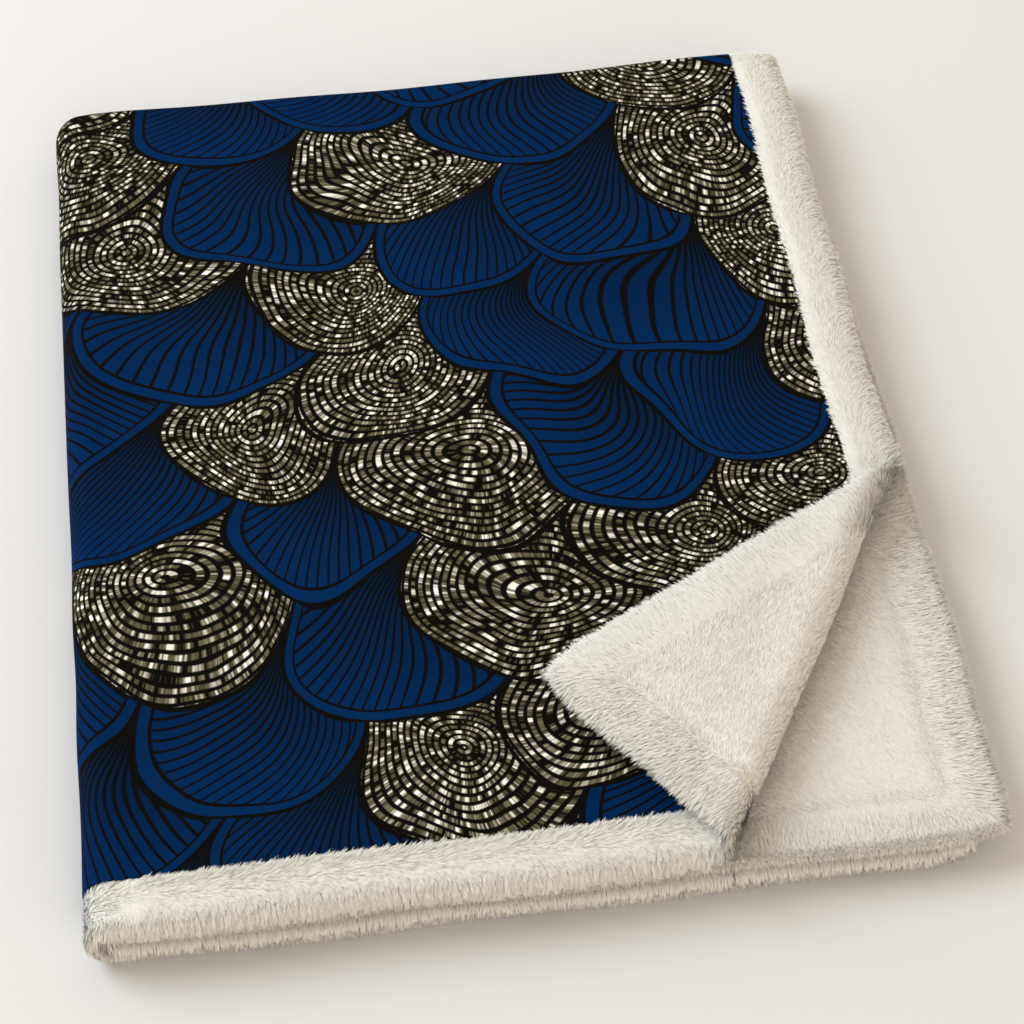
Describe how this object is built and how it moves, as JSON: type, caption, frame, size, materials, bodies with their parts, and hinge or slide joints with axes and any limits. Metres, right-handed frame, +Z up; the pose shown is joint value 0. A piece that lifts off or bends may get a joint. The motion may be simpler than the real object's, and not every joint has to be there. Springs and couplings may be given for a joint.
{
  "type": "folded baby blanket",
  "caption": "Folded baby blanket with a corner turned back: printed cotton front, and a long plush backing that is turned over the edges as a soft border.",
  "frame": {"origin": "middle of the underside", "axes": "+Z up, +Y along the left fold from the front edges to the back fold, +X from the left fold to the open right edges"},
  "size_m": [0.3923, 0.5108, 0.0399],
  "materials": {
    "plush": "cream long-pile plush",
    "print_cotton": "matte printed cotton, blue, black and cream"
  },
  "bodies": {
    "root": {"backing": "plush", "front_panel": "print_cotton"}
  },
  "joints": []
}
